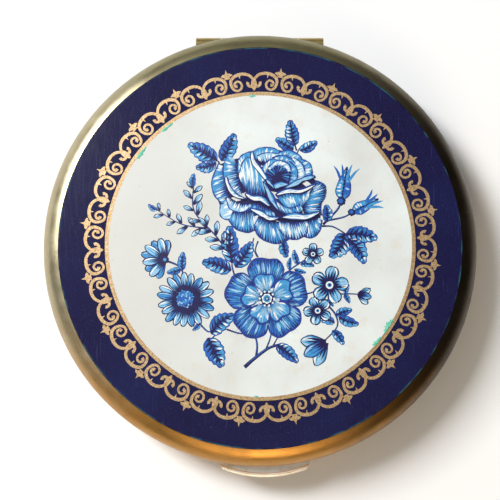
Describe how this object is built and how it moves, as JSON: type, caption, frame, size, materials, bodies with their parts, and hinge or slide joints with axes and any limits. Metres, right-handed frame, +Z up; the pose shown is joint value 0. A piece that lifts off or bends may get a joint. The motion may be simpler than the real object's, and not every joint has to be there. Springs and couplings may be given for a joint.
{
  "type": "powder compact",
  "caption": "Round hinged powder compact: printed lid with a mirror inside, an inner lid over a powder well with a sifter and puff, and a spring catch.",
  "frame": {"origin": "centre of the underside, on the surface that the compact rests on", "axes": "+Z up through the lid, -Y towards the thumb lip at the front, +X to the right seen from the front; the hinges are at +Y"},
  "size_m": [0.082, 0.0844, 0.0146],
  "materials": {
    "case_brass": "satin",
    "inner_brass": "gloss",
    "lip_brass": "satin",
    "navy_enamel": "gloss",
    "white_enamel": "gloss",
    "mirror": "polished",
    "card": "matte",
    "face_powder": "matte",
    "ivory_plastic": "gloss",
    "nylon_net": "matte",
    "velour": "matte",
    "satin_ribbon": "satin",
    "pin_steel": "satin",
    "spring_steel": "satin"
  },
  "bodies": {
    "base": {"base_shell": "case_brass", "powder_tray": "inner_brass", "powder_fill": "face_powder", "sifter_ring": "ivory_plastic", "sifter_net": "nylon_net", "puff_pad": "velour", "puff_ribbon": "satin_ribbon", "base_hinge_leaf": "inner_brass", "hinge_pin": "pin_steel", "inner_hinge_bracket": "inner_brass", "inner_hinge_rivets": "inner_brass", "inner_hinge_pin": "pin_steel", "inner_lid_spring": "spring_steel", "catch_bracket": "inner_brass"},
    "lid": {"lid_shell": "case_brass", "lid_panel": "navy_enamel", "centre_medallion": "white_enamel", "mirror_pad": "card", "mirror_glass": "mirror", "mirror_bezel": "inner_brass", "lid_hinge_leaf": "inner_brass", "thumb_lip": "lip_brass", "catch_striker": "inner_brass"},
    "inner_lid": {"inner_lid": "inner_brass", "inner_hinge_leaf": "inner_brass"},
    "catch": {"catch_leaf": "spring_steel"}
  },
  "joints": [
    {"name": "lid_hinge", "type": "hinge", "parent": "base", "child": "lid", "pos_m": [0, 0.04, 0.0068], "axis": [-1, 0, 0], "range_deg": [0, 110]},
    {"name": "inner_lid_hinge", "type": "hinge", "parent": "base", "child": "inner_lid", "pos_m": [0, 0.0363, 0.00725], "axis": [-1, 0, 0], "range_deg": [0, 66]},
    {"name": "catch_flex", "type": "hinge", "parent": "base", "child": "catch", "pos_m": [0, -0.03913, 0.004], "axis": [-1, 0, 0], "range_deg": [0, 5], "stiffness_Nm_per_rad": 0.002}
  ],
  "couplings": [
    {"joint": "inner_lid_hinge", "follows": "lid_hinge", "ratio": 0.6}
  ]
}
